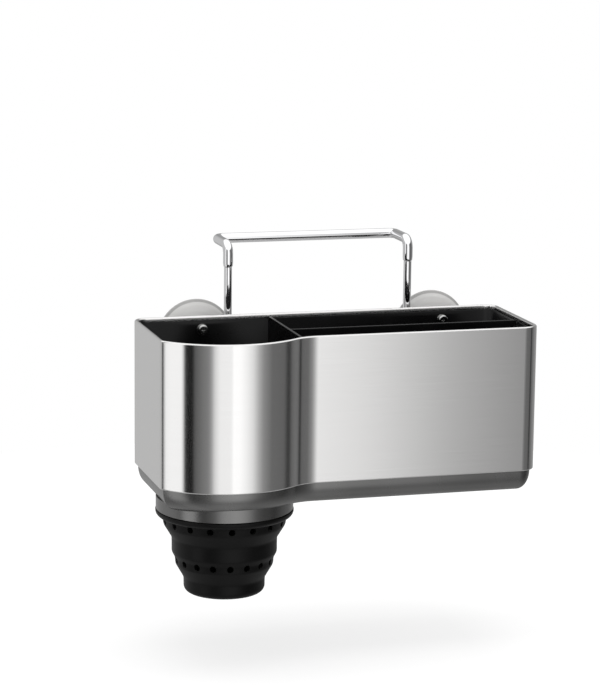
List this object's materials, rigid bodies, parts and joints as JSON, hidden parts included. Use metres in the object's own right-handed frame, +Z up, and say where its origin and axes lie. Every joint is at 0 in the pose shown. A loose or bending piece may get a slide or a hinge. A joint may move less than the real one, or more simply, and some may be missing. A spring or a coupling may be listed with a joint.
{
  "type": "sink caddy",
  "caption": "Hanging steel sink caddy with a brush well over a folding silicone cup, a divided sponge well, suction cups, and a chrome hook whose wire slides in its brackets.",
  "frame": {"origin": "middle of the flat facet under the hook's bar, where it rests on the sink's edge", "axes": "+X runs along the caddy from the brush well to the sponge well, +Y points to the sink's wall, from the shell's front to the hook's bar, and +Z is up"},
  "size_m": [0.24, 0.1444, 0.2086],
  "materials": {
    "shell_steel": "stainless steel sheet with a fine horizontal brushed grain and a smooth rolled rim",
    "liner_plastic": "black moulded plastic, smooth with a soft shine",
    "base_plastic": "dark grey moulded plastic with a satin surface",
    "cup_silicone": "black silicone, matt with a faint sheen",
    "hook_chrome": "polished chromed steel tube and wire",
    "bracket_plastic": "dark grey moulded plastic",
    "bush_rubber": "black soft rubber",
    "cup_vinyl": "milky translucent vinyl with a smooth skin",
    "screw_steel": "plated steel, bright"
  },
  "bodies": {
    "hook": {"hook_tube": "hook_chrome", "hook_wire": "hook_chrome"},
    "caddy": {"steel_shell": "shell_steel", "liner": "liner_plastic", "sponge_divider": "liner_plastic", "base": "base_plastic", "base_screw_1": "screw_steel", "base_screw_2": "screw_steel", "base_screw_3": "screw_steel", "base_screw_4": "screw_steel", "base_screw_5": "screw_steel", "cup_ring": "base_plastic", "cup_lip": "cup_silicone", "cup_upper_fold": "cup_silicone", "bracket_left": "bracket_plastic", "bracket_right": "bracket_plastic", "grip_bush_left": "bush_rubber", "grip_bush_right": "bush_rubber", "suction_cup_left": "cup_vinyl", "suction_cup_right": "cup_vinyl", "bracket_screw_1": "screw_steel", "bracket_screw_2": "screw_steel", "bracket_screw_3": "screw_steel", "bracket_screw_4": "screw_steel", "bracket_washer_1": "screw_steel", "bracket_washer_2": "screw_steel", "bracket_washer_3": "screw_steel", "bracket_washer_4": "screw_steel"},
    "cup_middle": {"cup_middle_ring": "cup_silicone", "cup_lower_fold": "cup_silicone"},
    "cup_end": {"cup_bottom": "cup_silicone"}
  },
  "joints": [
    {"name": "height_slide", "type": "slide", "parent": "hook", "child": "caddy", "axis": [0, 0, 1], "range_m": [-0.038, 0.03]},
    {"name": "cup_fold_1", "type": "slide", "parent": "caddy", "child": "cup_middle", "axis": [0, 0, 1], "range_m": [0, 0.0158], "deforming": ["cup_upper_fold"]},
    {"name": "cup_fold_2", "type": "slide", "parent": "cup_middle", "child": "cup_end", "axis": [0, 0, 1], "range_m": [0, 0.0166], "deforming": ["cup_lower_fold"]}
  ]
}
